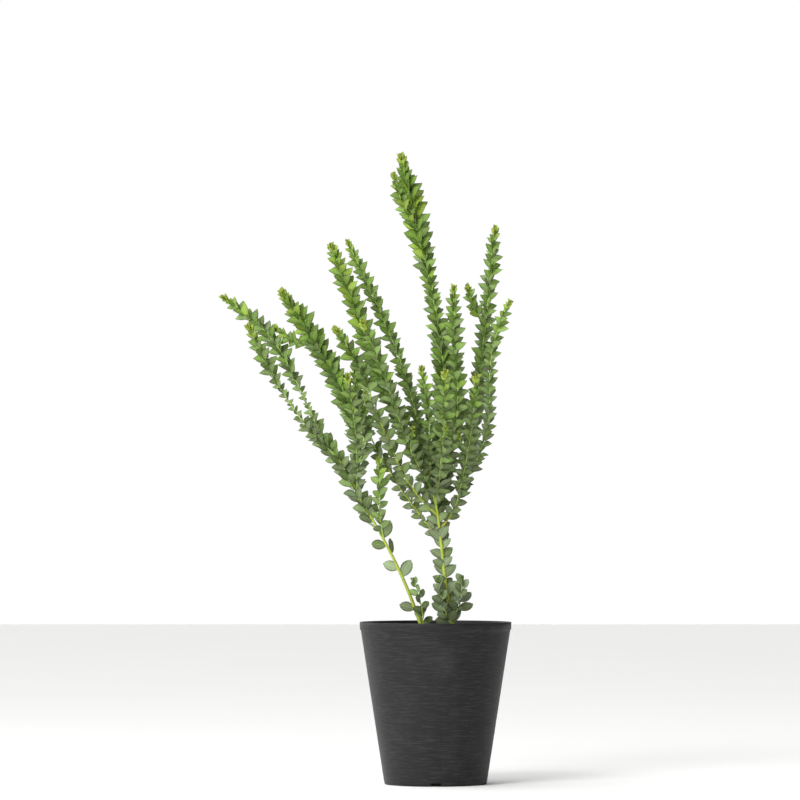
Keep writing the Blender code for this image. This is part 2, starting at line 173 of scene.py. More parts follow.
def makeLeafMarks():
    tree, given, result = shaderGroup(
        "leafMarks",
        (("Color", "Blade", None), ("Color", "Margin", None), ("Color", "Midrib", None),
         ("Color", "Bloom", None), ("Float", "Bloom share", 0.4), ("Float", "Leaf variation", 0.35)),
        (("Color", "Colour"), ("Float", "Height"), ("Float", "Roughness")))
    uv = addNode(tree, "ShaderNodeUVMap", uv_map="blade")
    split = addNode(tree, "ShaderNodeSeparateXYZ")
    tree.links.new(uv.outputs["UV"], split.inputs["Vector"])
    along, across = split.outputs["X"], split.outputs["Y"]
    fromRib = addMath(tree, "ABSOLUTE", addMath(tree, "MULTIPLY_ADD", across, 2.0, -1.0))
    place = addNode(tree, "ShaderNodeTexCoord").outputs["Object"]
    cloudy = addNoise(tree, place, bladeMarks["cloudScale"], 3.0)
    fine = addNoise(tree, place, bladeMarks["fineScale"], 2.0)
    ownShade = addNode(tree, "ShaderNodeAttribute", attribute_type="GEOMETRY", attribute_name="leafShade")
    perLeaf = addMath(tree, "MULTIPLY", ownShade.outputs["Fac"], given["Leaf variation"])
    # veins slant outwards from the midrib
    slant = addMath(tree, "MULTIPLY_ADD", fromRib, -bladeMarks["veinSlant"], along)
    veins = addMath(tree, "SINE", addMath(tree, "MULTIPLY", slant, bladeMarks["veinCount"]))
    veins = addMath(tree, "MULTIPLY_ADD", veins, bladeMarks["veinStrength"] / 2, bladeMarks["veinStrength"] / 2)
    bloomMask = addMask(tree, cloudy, bladeMarks["cloudLow"], bladeMarks["cloudHigh"], given["Bloom share"])
    shade = mixColour(tree, bloomMask, given["Blade"], given["Bloom"])
    dark = mixColour(tree, perLeaf, shade, given["Margin"])
    veined = mixColour(tree, veins, dark, given["Midrib"])
    midrib = addMask(tree, fromRib, bladeMarks["ribWidth"], 0.0, bladeMarks["ribStrength"])
    ribbed = mixColour(tree, midrib, veined, given["Midrib"])
    rim = addRamp(tree, fromRib, bladeMarks["rimStart"], bladeMarks["rimFull"])
    point = addRamp(tree, along, bladeMarks["pointStart"], 1.0)
    edge = addMath(tree, "MULTIPLY", addMath(tree, "MAXIMUM", rim, point), bladeMarks["rimStrength"])
    tree.links.new(mixColour(tree, edge, ribbed, given["Margin"]), result["Colour"])
    height = addMath(tree, "MULTIPLY_ADD", veins, 1.6, addRamp(tree, fromRib, 0.16, 0.0))
    tree.links.new(addMath(tree, "MULTIPLY_ADD", fine, 0.25, height), result["Height"])
    tree.links.new(addMath(tree, "MULTIPLY_ADD", cloudy, 0.22, 0.34), result["Roughness"])
    return tree


def makeGreenBark():
    tree, given, result = shaderGroup(
        "greenBark",
        (("Color", "Skin", None), ("Color", "Streak", None), ("Color", "Blush", None),
         ("Float", "Blush share", 0.4), ("Float", "Streak share", 0.5)),
        (("Color", "Colour"), ("Float", "Height")))
    place = addNode(tree, "ShaderNodeTexCoord").outputs["Object"]
    streaks = addNoise(tree, place, 900.0, 3.0, (1.0, 1.0, 0.09))
    patches = addNoise(tree, place, 34.0, 4.0)
    pores = addNoise(tree, place, 1500.0, 1.0, (1.0, 1.0, 0.45))
    streakMask = addMask(tree, streaks, 0.42, 0.66, given["Streak share"])
    streaked = mixColour(tree, streakMask, given["Skin"], given["Streak"])
    blushMask = addMask(tree, patches, 0.56, 0.72, given["Blush share"])
    blushed = mixColour(tree, blushMask, streaked, given["Blush"])
    poreMask = addMask(tree, pores, 0.66, 0.74, 0.4)
    tree.links.new(mixColour(tree, poreMask, blushed, given["Streak"]), result["Colour"])
    tree.links.new(addMath(tree, "MULTIPLY_ADD", pores, 0.5, streaks), result["Height"])
    return tree


def makeSpecks():
    tree, given, result = shaderGroup(
        "specks",
        (("Color", "Ground", None), ("Color", "Speck", None),
         ("Float", "Speck scale", 400.0), ("Float", "Speck share", 0.5)),
        (("Color", "Colour"), ("Float", "Mask"), ("Float", "Grain")))
    place = addNode(tree, "ShaderNodeTexCoord").outputs["Object"]
    cells = feed(tree, addNode(tree, "ShaderNodeTexVoronoi"), {"Vector": place, "Scale": given["Speck scale"]})
    broad = addNoise(tree, place, 45.0, 4.0, None, 0.6)
    grain = addNoise(tree, place, 1300.0, 3.0)
    dots = addRamp(tree, cells["Distance"], 0.24, 0.08)
    mask = addMath(tree, "MULTIPLY", addMask(tree, broad, 0.48, 0.66, dots), given["Speck share"])
    tree.links.new(mixColour(tree, mask, given["Ground"], given["Speck"]), result["Colour"])
    tree.links.new(mask, result["Mask"])
    tree.links.new(grain, result["Grain"])
    return tree


leafMarks = makeLeafMarks()
greenBark = makeGreenBark()
specks = makeSpecks()


def newMaterial(name, group, values, bumpFrom, bumpHeight, roughness):
    material = bpy.data.materials.new(name)
    material.use_nodes = True
    tree = material.node_tree
    shader = tree.nodes["Principled BSDF"]
    shader.inputs["Roughness"].default_value = roughness
    effect = addNode(tree, "ShaderNodeGroup", node_tree=group)
    for label, value in values.items():
        effect.inputs[label].default_value = value
    tree.links.new(effect.outputs["Colour"], shader.inputs["Base Color"])
    bump = addNode(tree, "ShaderNodeBump")
    bump.inputs["Strength"].default_value = 0.6
    bump.inputs["Distance"].default_value = bumpHeight
    tree.links.new(effect.outputs[bumpFrom], bump.inputs["Height"])
    tree.links.new(bump.outputs["Normal"], shader.inputs["Normal"])
    return material, tree, shader, effect, bump


# Leaf colours, from the yellow-green buds down to the grey-green old leaves
leafLooks = {
    "leavesBud": {"blade": (160, 181, 64), "margin": (108, 112, 36), "midrib": (188, 206, 106),
                  "bloom": (166, 190, 88), "share": 0.3},
    "leavesYoung": {"blade": (144, 175, 62), "margin": (84, 94, 34), "midrib": (170, 194, 100),
                    "bloom": (148, 182, 82), "share": 0.35},
    "leavesFresh": {"blade": (123, 157, 62), "margin": (62, 76, 34), "midrib": (154, 182, 102),
                    "bloom": (130, 166, 84), "share": 0.4},
    "leavesMature": {"blade": (114, 143, 70), "margin": (60, 68, 38), "midrib": (152, 174, 108),
                     "bloom": (130, 160, 94), "share": 0.45},
    "leavesDeep": {"blade": (116, 138, 79), "margin": (60, 66, 44), "midrib": (152, 168, 114),
                   "bloom": (132, 156, 104), "share": 0.5},
    "leavesGrey": {"blade": (121, 139, 94), "margin": (66, 72, 54), "midrib": (154, 170, 126),
                   "bloom": (140, 162, 124), "share": 0.6},
}


def leafMaterial(name, look):
    values = {label.capitalize(): colour(*look[label]) for label in ("blade", "margin", "midrib", "bloom")}
    values.update({"Bloom share": look["share"], "Leaf variation": 0.5})
    material, tree, shader, effect = newMaterial(name, leafMarks, values, "Height", 0.00018, 0.45)[:4]
    tree.links.new(effect.outputs["Roughness"], shader.inputs["Roughness"])
    shader.inputs["Specular IOR Level"].default_value = 0.32
    shader.inputs["Coat Weight"].default_value = 0.05
    shader.inputs["Coat Roughness"].default_value = 0.4
    return material


def barkMaterial(name, skin, streak, blush, blushShare):
    values = {"Skin": colour(*skin), "Streak": colour(*streak), "Blush": colour(*blush),
              "Blush share": blushShare}
    return newMaterial(name, greenBark, values, "Height", 0.00012, 0.5)[0]


leafMaterials = {name: leafMaterial(name, look) for name, look in leafLooks.items()}
stemMaterial = barkMaterial("stemBark", (162, 178, 60), (126, 146, 48), (152, 122, 62), 0.35)
shootMaterial = barkMaterial("shootBark", (158, 184, 92), (118, 152, 60), (150, 120, 66), 0.3)
print("materials for leaves and stems are ready")


# The limbs: the same stems, boughs and shoots as in the solids. Tip, bow, sway and dip are in millimetres.

class Limb(NamedTuple):
    node: str
    parent: str
    height: float
    tip: tuple
    bow: float = 0.0
    sway: float = 0.0
    dip: float = 0.0
    thick: float = 2.0
    end: float = 0.8
    leaf: float = 15.0
    step: float = 2.9
    shape: str = "knife"
    tone: float = 0.0
    twigs: int = 0


ground = 142.0  # top of the potting mix
stemFeet = {"stem_left": (-11.0, -5.0), "stem_right": (20.0, 3.0)}
stems = (
    Limb("stem_left", "ground", ground, (-57, -8, 252), 3, 0, 0, 4.2, 2.8, 17, 8.6, "oval"),
    Limb("stem_right", "ground", ground, (-10, -2, 320), 1, -2, 3, 4.8, 2.2, 17, 2.6, "broad"),
)
boughs = (
    Limb("bough_left", "stem_left", 252, (-109, -4, 337), 2, -1, 0, 2.8, 2.0, 17, 2.7, "broad"),
    Limb("bough_left_inner", "bough_left", 297, (-71, 4, 342), 2, 0, 0, 2.2, 1.9, 14, 3.2, "broad"),
    Limb("bough_low_left", "stem_right", 240, (-60, 34, 334), -3, 0, 4, 2.4, 1.7, 13, 3.4, "broad"),
    Limb("bough_centre_left", "stem_right", 265, (-63, -34, 377), -8, -2, -4, 2.6, 1.8, 14, 3.6, "broad"),
    Limb("bough_right", "stem_right", 250, (32, 4, 311), 4, 0, 0, 2.6, 2.0, 14, 3.6, "broad"),
)
shoots = (
    Limb("foliage_tall", "stem_right", 279, (-33, 8, 620), 20, 3, 4, 2.8, 0.8, 21, 1.9, tone=-0.2),
    Limb("foliage_tall", "foliage_tall", 540, (-42, -4, 604), -2, 1, 0, 1.4, 0.8, 14, 2.4, tone=-0.2),
    Limb("foliage_centre_left", "stem_right", 309, (-103, -20, 531), -6, -2, 0, 2.2, 0.8, 17.5, 2.1, tone=-0.6),
    Limb("foliage_centre_back", "stem_right", 320, (-87, 20, 538), 9, 1, 4, 2.0, 0.8, 14, 2.5, tone=-0.1),
    Limb("foliage_centre_sprig", "stem_right", 301, (-14, -34, 412), 3, 0, -4, 1.6, 0.8, 13.5, 2.6, tone=-0.3),
    Limb("foliage_centre_right", "stem_right", 289, (18, -30, 490), 14, 4, -4, 2.0, 0.8, 15.5, 2.3, tone=-0.2, twigs=1),
    Limb("foliage_right", "bough_right", 311, (60, 16, 551), 1, 0, 2, 2.0, 0.8, 15, 2.4),
    Limb("foliage_right", "foliage_right", 455, (31, 8, 492), -2, 0, 0, 1.4, 0.8, 16, 2.2, tone=-0.3),
    Limb("foliage_right_outer", "bough_right", 298, (73, -32, 477), 3, 7, -2, 1.8, 0.8, 13, 2.7, tone=0.2),
    Limb("foliage_left_outer", "bough_left", 337, (-210, 14, 483), 14, -3, 4, 1.9, 0.8, 16.5, 2.5, tone=0.1),
    Limb("foliage_left_lower", "bough_left", 324, (-185, -34, 452), -8, -1, -4, 1.8, 0.8, 15.5, 2.5, tone=0.2),
    Limb("foliage_left_upper", "bough_left_inner", 342, (-151, -10, 486), 5, 0, 0, 1.9, 0.8, 19.5, 1.9, tone=-0.5),
    Limb("foliage_left_upper", "foliage_left_upper", 432, (-161, 12, 452), -4, 0, 0, 1.4, 0.8, 14, 2.3, tone=0.1),
    Limb("foliage_left_inner", "bough_left_inner", 330, (-69, 28, 388), 2, 0, 4, 1.8, 0.8, 13.5, 2.9),
    Limb("foliage_left_front", "bough_centre_left", 377, (-98, -58, 448), 5, 1, -2, 1.8, 0.8, 17, 2.3),
    Limb("foliage_left_sprig", "stem_left", 240, (-56, -26, 322), -2, -1, -6, 1.8, 0.8, 13.5, 3.2, "broad"),
    Limb("foliage_left_back", "bough_low_left", 334, (-82, 76, 418), -4, 0, 6, 1.7),
    Limb("foliage_back_tall", "stem_right", 298, (-5, 60, 500), 15, 3, 10, twigs=1),
    Limb("foliage_back", "stem_right", 256, (8, 98, 430), 4, 0, 12, 2.2, 0.8, 15.5, 3.0, "broad", 0.2, 2),
    Limb("foliage_back_right", "bough_right", 287, (48, 84, 438), 4, 0, 8, 1.8, twigs=1),
    Limb("foliage_back_left", "bough_left_inner", 318, (-106, 82, 426), 4, 0, 8, 1.7),
    Limb("foliage_front_tall", "stem_right", 286, (-72, -66, 455), -3, -2, -8, twigs=1),
    Limb("foliage_front", "stem_right", 275, (9, -94, 404), 2, 0, -12, 2.1, 0.8, 15.5, 3.0, "broad", 0.2, 2),
    Limb("foliage_front_right", "bough_right", 277, (40, -78, 402), 3, 0, -8, 1.8, twigs=1),
    Limb("foliage_front_left", "bough_left", 288, (-86, -86, 402), 3, 0, -8, 1.8),
    Limb("sprig_left", "stem_left", 150, (-22, -16, 204), 3, 0, -2, 1.2, 0.8, 11, 3.4, "oval", -0.8),
    Limb("sprig_centre", "stem_right", 152, (2, -8, 204), -3, 0, -3, 1.3, 0.8, 14, 2.9, "oval", 0.4),
    Limb("sprig_right", "stem_right", 162, (26, -8, 205), 4, 0, -3, 1.3, 0.8, 15, 2.8, "oval", 0.4),
)

growth = {
    "ringStep": 5.0,  # mm between points of a limb's line
    "budRoom": 4.0,
    "tipWidth": 0.8,
    "footRun": 4.0,
    "footSunk": 7.0,  # the stems run this far into the potting mix
    "flareHeight": 14.0,
    "flareGrowth": 0.55,
    "twigFirst": 0.34,
    "twigStep": 0.2,
    "twigSpread": 0.06,
    "twigAngle": 36.0,
    "twigLength": 34.0,
    "twigThick": 1.3,
    "twigLeaf": 0.75,
    "seed": 1830,
}


def limbLine(limb, base):
    chord = Vector(limb.tip) * mm - base
    if limb.end == growth["tipWidth"]:
        chord *= 1.0 - growth["budRoom"] * mm / chord.length
    across = Vector((chord.z, 0.0, -chord.x)).normalized()
    count = max(6, round(chord.length / (growth["ringStep"] * mm)))
    line = []
    for index in range(count + 1):
        share = index / count
        arch = math.sin(math.pi * share)
        side = limb.bow * arch + limb.sway * math.sin(math.tau * share)
        line.append(base + chord * share + across * side * mm + Vector((0.0, limb.dip * arch * mm, 0.0)))
    return line


def pointAtHeight(line, height):
    for near, far in zip(line, line[1:]):
        if near.z <= height * mm <= far.z:
            return near.lerp(far, (height * mm - near.z) / (far.z - near.z))
    return line[-1].copy()


def runLengths(line):
    lengths = [0.0]
    for near, far in zip(line, line[1:]):
        lengths.append(lengths[-1] + (far - near).length)
    return lengths


def pointAlong(line, lengths, distance):
    index = 0
    while index < len(line) - 2 and distance > lengths[index + 1]:
        index += 1
    step = line[index + 1] - line[index]
    return line[index] + step * (distance - lengths[index]) / step.length, step.normalized()


def limbWidths(limb, line):
    lengths = runLengths(line)
    widths = []
    for run in lengths:
        width = limb.thick + (limb.end - limb.thick) * run / lengths[-1]
        if limb.parent == "ground":
            width *= 1.0 + growth["flareGrowth"] * max(0.0, 1.0 - run / (growth["flareHeight"] * mm)) ** 2
        widths.append(width / 2 * mm)
    return widths


def drawLimbs():
    rng = random.Random(growth["seed"])
    grown = []
    carriers = {}
    for limb in stems + boughs + shoots:
        if limb.parent == "ground":
            foot = Vector((*stemFeet[limb.node], ground)) * mm
            rise = Vector((0.0, 0.0, growth["footRun"] * mm))
            line = [foot - Vector((0.0, 0.0, growth["footSunk"] * mm))] + limbLine(limb, foot + rise)
        else:
            line = limbLine(limb, pointAtHeight(carriers[limb.parent], limb.height))
        grown.append((limb, line))
        carriers.setdefault(limb.node, line)
    for limb, line in list(grown):
        lengths = runLengths(line)
        for index in range(limb.twigs):
            share = growth["twigFirst"] + growth["twigStep"] * index
            share += rng.uniform(-1, 1) * growth["twigSpread"]
            point, ahead = pointAlong(line, lengths, share * lengths[-1])
            outward = Quaternion(ahead, rng.uniform(0.0, math.tau)) @ ahead.orthogonal().normalized()
            angle = math.radians(growth["twigAngle"])
            tip = point + (ahead * math.cos(angle) + outward * math.sin(angle)) * growth["twigLength"] * mm
            twig = limb._replace(tip=tuple(tip / mm), bow=0.0, sway=0.0, dip=0.0, thick=growth["twigThick"],
                                 leaf=limb.leaf * growth["twigLeaf"], twigs=0)
            grown.append((twig, limbLine(twig, point)))
    return grown


limbs = drawLimbs()
print("limbs drawn:", len(limbs))


# Every tree starts with its named inputs and ends in Realize Instances and Set Material

def startTree(name, inputs):
    tree = bpy.data.node_groups.new(name, "GeometryNodeTree")
    addSocket(tree, "INPUT", "Geometry", "Geometry")
    for kind, label, value in inputs:
        addSocket(tree, "INPUT", kind, label, value)
    addSocket(tree, "INPUT", "Material", "Material")
    addSocket(tree, "OUTPUT", "Geometry", "Geometry")
    return tree, addNode(tree, "NodeGroupInput").outputs


def finishTree(tree, geometry, given):
    real = feed(tree, addNode(tree, "GeometryNodeRealizeInstances"), {"Geometry": geometry})
    paint = feed(tree, addNode(tree, "GeometryNodeSetMaterial"), {
        "Geometry": real["Geometry"], "Material": given["Material"]})
    feed(tree, addNode(tree, "NodeGroupOutput"), {"Geometry": paint["Geometry"]})
    return tree


def placeShapes(tree, shelf, points):  # one shape from a collection on each point
    shapes = feed(tree, addNode(tree, "GeometryNodeCollectionInfo"), {
        "Collection": shelf, "Separate Children": True, "Reset Children": True})
    spread = addNode(tree, "GeometryNodeInstanceOnPoints")
    feed(tree, spread, {"Points": points, "Instance": shapes["Instances"], "Pick Instance": True})
    return spread


def growWith(item, tree, values):
    modifier = item.modifiers.new(tree.name, "NODES")
    modifier.node_group = tree
    for socket in tree.interface.items_tree:
        if socket.item_type == "SOCKET" and socket.in_out == "INPUT" and socket.name in values:
            modifier[socket.identifier] = values[socket.name]
    return toPlainMesh(item)


# A limb is swept along its line with ribs and a rough skin

barkRelief = {"ribs": 5, "ribDepth": 0.12, "twist": 0.35, "roughness": 0.16, "grain": 700.0}


def makeLimbTree():
    tree, given = startTree("growLimbs", (
        ("Int", "Ribs", 5), ("Float", "Rib depth", 0.1), ("Float", "Rib twist", 0.0),
        ("Float", "Skin roughness", 0.1), ("Float", "Skin grain", 700.0)))
    curve = feed(tree, addNode(tree, "GeometryNodeMeshToCurve"), {"Mesh": given["Geometry"]})
    width = feed(tree, addNode(tree, "GeometryNodeInputNamedAttribute", data_type="FLOAT"),
                 {"Name": "halfWidth"})
    star = feed(tree, addNode(tree, "GeometryNodeCurveStar"), {
        "Points": given["Ribs"], "Outer Radius": 1.0, "Twist": given["Rib twist"],
        "Inner Radius": addMath(tree, "SUBTRACT", 1.0, given["Rib depth"])})
    sweep = feed(tree, addNode(tree, "GeometryNodeCurveToMesh"), {
        "Curve": curve["Curve"], "Profile Curve": star["Curve"],
        "Scale": width["Attribute"], "Fill Caps": True})
    position = addNode(tree, "GeometryNodeInputPosition").outputs[0]
    grain = feed(tree, addNode(tree, "ShaderNodeTexNoise"), {"Scale": given["Skin grain"], "Vector": position})
    lift = addMath(tree, "SUBTRACT", grain["Fac"], 0.5)
    lift = addMath(tree, "MULTIPLY", addMath(tree, "MULTIPLY", lift, given["Skin roughness"]), mm)
    normal = addNode(tree, "GeometryNodeInputNormal").outputs[0]
    push = feed(tree, addNode(tree, "ShaderNodeVectorMath", operation="SCALE"), {0: normal, "Scale": lift})
    rough = feed(tree, addNode(tree, "GeometryNodeSetPosition"), {
        "Geometry": sweep["Mesh"], "Offset": push["Vector"]})
    smooth = feed(tree, addNode(tree, "GeometryNodeSetShadeSmooth"), {"Geometry": rough["Geometry"]})
    return finishTree(tree, smooth["Geometry"], given)


def makeLimbs(name, lines, material, tree):
    points, edges, widths = [], [], []
    for limb, line in lines:
        first = len(points)
        points += line
        edges += [(first + index, first + index + 1) for index in range(len(line) - 1)]
        widths += limbWidths(limb, line)
    mesh = bpy.data.meshes.new(name)
    mesh.from_pydata(points, edges, [])
    mesh.attributes.new("halfWidth", "FLOAT", "POINT").data.foreach_set("value", widths)
    item = newObject(name, mesh)
    growWith(item, tree, {
        "Ribs": barkRelief["ribs"], "Rib depth": barkRelief["ribDepth"], "Rib twist": barkRelief["twist"],
        "Skin roughness": barkRelief["roughness"], "Skin grain": barkRelief["grain"], "Material": material})
    bm = bmesh.new()
    bm.from_mesh(item.data)
    bmesh.ops.recalc_face_normals(bm, faces=bm.faces)
    bm.to_mesh(item.data)
    bm.free()
    return item


limbTree = makeLimbTree()
woody = [(limb, line) for limb, line in limbs if limb.node.startswith(("stem", "bough"))]
green = [(limb, line) for limb, line in limbs if not limb.node.startswith(("stem", "bough"))]
stemPiece = makeLimbs("stemsAndBoughs", woody, stemMaterial, limbTree)
shootPiece = makeLimbs("shootStems", green, shootMaterial, limbTree)
print("stems swept:", len(stemPiece.data.polygons) + len(shootPiece.data.polygons), "faces")


# Leaves. A blade is a closed thin lens with a raised midrib, in its own outline.

bladeShapes = {  # shares of the blade's length
    "knife": {"humpAlong": 0.50, "humpHeight": 0.46, "bellyAlong": 0.58, "bellyDepth": 0.07, "fullness": 1.12},
    "broad": {"humpAlong": 0.52, "humpHeight": 0.44, "bellyAlong": 0.54, "bellyDepth": 0.15, "fullness": 0.85},
    "oval": {"humpAlong": 0.54, "humpHeight": 0.34, "bellyAlong": 0.52, "bellyDepth": 0.28, "fullness": 0.64},
}
bladeStations = (0.06, 0.20, 0.36, 0.52, 0.70, 0.88)
bladeCurls = ((0.03, 0.10), (0.06, -0.08), (0.045, 0.0))  # fold along the midrib, and curl towards the tip
bladeThickness = 0.030


def bladeEdge(along, peak, height, fullness):
    power = math.log(0.5) / math.log(peak)
    return height * math.sin(math.pi * along ** power) ** fullness


def makeBlade(name, shape, fold, curl):
    vertices = [(0.0, 0.0, 0.0)]
    uvs = [(0.0, 0.5)]
    for along in bladeStations:
        top = bladeEdge(along, shape["humpAlong"], shape["humpHeight"], shape["fullness"])
        low = -bladeEdge(along, shape["bellyAlong"], shape["bellyDepth"], shape["fullness"])
        top = max(top, 0.03)
        low = min(low, -0.02)
        rib = (top + low) * 0.42
        bend = curl * along * along
        body = bladeThickness * math.sin(math.pi * min(0.97, along + 0.06)) ** 0.5
        vertices += [(along, top, bend + fold * 0.6), (along, low, bend + fold),
                     (along, rib, bend + body / 2), (along, rib, bend - body / 2)]
        uvs += [(along, 1.0), (along, 0.0), (along, 0.5), (along, 0.5)]
    vertices.append((1.0, 0.02, curl))
    uvs.append((1.0, 0.5))
    last = len(vertices) - 1
    count = len(bladeStations)
    faces = []
    first = 1
    for edge, rib, flip in ((0, 2, False), (1, 2, True), (0, 3, True), (1, 3, False)):
        ring = [(0, first + rib, first + edge)]
        for index in range(count - 1):
            near, far = first + 4 * index, first + 4 * (index + 1)
            ring.append((near + rib, far + rib, far + edge, near + edge))
        ring.append((first + 4 * (count - 1) + rib, last, first + 4 * (count - 1) + edge))
        faces += [tuple(reversed(face)) for face in ring] if flip else ring
    mesh = bpy.data.meshes.new(name)
    mesh.from_pydata(vertices, [], faces)
    layer = mesh.uv_layers.new(name="blade")
    for loop in mesh.loops:
        layer.data[loop.index].uv = uvs[loop.vertex_index]
    mesh.shade_smooth()
    bm = bmesh.new()
    bm.from_mesh(mesh)
    bmesh.ops.recalc_face_normals(bm, faces=bm.faces)
    bm.verts.ensure_lookup_table()
    for edge in bm.edges:  # the margin stays crisp
        edge.smooth = edge.calc_face_angle(0.0) < math.radians(70.0)
    bm.to_mesh(mesh)
    bm.free()
    return newObject(name, mesh)


def makeLeafTree():
    tree, given = startTree("growLeaves", (("Collection", "Blade shapes", None), ("Float", "Leaf size", 1.0)))
    spread = placeShapes(tree, given["Blade shapes"], given["Geometry"])
    for name, kind, target in (("shapeIndex", "INT", "Instance Index"), ("turn", "FLOAT_VECTOR", "Rotation"),
                               ("length", "FLOAT", "Scale")):
        value = feed(tree, addNode(tree, "GeometryNodeInputNamedAttribute", data_type=kind), {"Name": name})
        output = value["Attribute"]
        if name == "turn":
            output = feed(tree, addNode(tree, "FunctionNodeEulerToRotation"), {0: output})[0]
        if name == "length":
            output = addMath(tree, "MULTIPLY", output, given["Leaf size"])
        feed(tree, spread, {target: output})
    return finishTree(tree, spread.outputs["Instances"], given)


leafHabit = {
    # the real leaves are finer and closer than those of the solids
    "leafShare": {"knife": 0.93, "broad": 0.95, "oval": 1.08},
    "stepShare": {"knife": 0.78, "broad": 0.82, "oval": 1.0},
    "bareFoot": 8.0,
    "bareStem": 22.0,  # from the cut end below the potting mix
    "openAngle": {"knife": 48.0, "broad": 49.0, "oval": 54.0},
    "budAngle": 26.0,
    "angleSpread": 7.0,
    "twist": 26.0,
    "openFront": -0.46,
    "budLength": 0.54,
    "budStep": 0.62,
    "budReach": 1.9,  # in leaf lengths
    "budLeaves": 8,
    "budLeaf": 0.46,
    "budDepth": 3.5,  # mm of the tip that the rosette takes
    "budShare": 0.75,  # the rest are one colour older
    "budFan": (12.0, 44.0),  # angles from the middle of the rosette outwards
    "budSizes": (0.85, 1.1),
    "sizeSpread": 0.13,
    "tipTones": ((0.2, 9.0), (1.5, 42.0)),  # the oldest colour at the tip, and mm down the shoot for the next
    "toneSpread": 0.42,
    "turn": 137.5,
    # smaller leaves part way down a shoot: distance from the tip in mm, how far they reach, and by what share
    "pinch": {"foliage_tall": (150.0, 46.0, 0.40), "foliage_left_outer": (138.0, 27.0, 0.55),
              "foliage_left_lower": (92.0, 26.0, 0.50)},
}
toneSteps = ((560.0, 1.9), (480.0, 2.3), (400.0, 2.9), (330.0, 3.7), (250.0, 4.5), (140.0, 5.0))


def toneAt(height):  # the higher a leaf stands, the fresher it is
    if height >= toneSteps[0][0]:
        return toneSteps[0][1]
    for (high, toneHigh), (low, toneLow) in zip(toneSteps, toneSteps[1:]):
        if height >= low:
            return between(toneHigh, toneLow, (high - height) / (high - low))
    return toneSteps[-1][1]


class Leaf(NamedTuple):
    point: Vector
    turn: tuple
    length: float
    shapeIndex: int
    leafShade: float


def leafPlace(ahead, turn, angle, rng):  # the blade stands in the plane of its stem, apart from a twist
    angle = math.radians(angle + rng.uniform(-1, 1) * leafHabit["angleSpread"])
    outward = Quaternion(ahead, turn) @ ahead.orthogonal().normalized()
    along = ahead * math.cos(angle) + outward * math.sin(angle)
    rise = ahead * math.sin(angle) - outward * math.cos(angle)
    rise = Quaternion(along, math.radians(rng.uniform(-1, 1) * leafHabit["twist"])) @ rise
    return Matrix((along, rise, along.cross(rise))).transposed().to_euler()


def spiralLeaves(limb, line, rng, sprays):
    lengths = runLengths(line)
    full = lengths[-1]
    growing = limb.end == growth["tipWidth"]
    run = (leafHabit["bareStem"] if limb.parent == "ground" else leafHabit["bareFoot"]) * mm
    turn = rng.uniform(0.0, math.tau)
    pinch = leafHabit["pinch"].get(limb.node)
    names = list(leafLooks)
    while run < full:
        fromTip = full - run
        opened = min(1.0, fromTip / (leafHabit["budReach"] * limb.leaf * mm)) if growing else 1.0
        point, ahead = pointAlong(line, lengths, run)
        size = limb.leaf * leafHabit["leafShare"][limb.shape] * between(leafHabit["budLength"], 1.0, opened)
        size *= 1.0 + rng.uniform(-1, 1) * leafHabit["sizeSpread"]
        if pinch and growing:
            middle, reach, loss = pinch
            size *= 1.0 - loss * math.exp(-((fromTip / mm - middle) / reach) ** 2)
        angle = between(leafHabit["budAngle"], leafHabit["openAngle"][limb.shape], opened)
        place = leafPlace(ahead, turn, angle, rng)
        turn += math.radians(leafHabit["turn"])
        run += limb.step * leafHabit["stepShare"][limb.shape] * mm * between(leafHabit["budStep"], 1.0, opened)
        if limb.parent == "ground" and place.to_matrix().col[0].y < leafHabit["openFront"]:
            continue  # the front of the stems stays bare, as in the photo
        tone = toneAt(point.z / mm) + limb.tone
        if growing and limb.shape != "oval":
            tone = min([tone] + [oldest + fromTip / mm / down for oldest, down in leafHabit["tipTones"]])
        tone = min(len(names) - 1, max(0, round(tone + rng.gauss(0.0, leafHabit["toneSpread"]))))
        shape = list(bladeShapes).index(limb.shape) * len(bladeCurls) + rng.randrange(len(bladeCurls))
        sprays[names[tone]].append(Leaf(point, tuple(place), size * mm, shape, rng.random()))
    if growing:  # a rosette of small leaves closes the tip
        fresh = 2 if limb.shape == "oval" else 0
        for number in range(leafHabit["budLeaves"]):
            share = number / (leafHabit["budLeaves"] - 1)
            point, ahead = pointAlong(line, lengths, full - share * leafHabit["budDepth"] * mm)
            place = leafPlace(ahead, turn, between(*leafHabit["budFan"], share), rng)
            size = limb.leaf * leafHabit["budLeaf"] * rng.uniform(*leafHabit["budSizes"])
            shape = len(bladeCurls) + rng.randrange(len(bladeCurls))  # broad blades
            name = names[fresh if rng.random() < leafHabit["budShare"] else fresh + 1]
            sprays[name].append(Leaf(point, tuple(place), size * mm, shape, rng.random()))
            turn += math.radians(leafHabit["turn"])


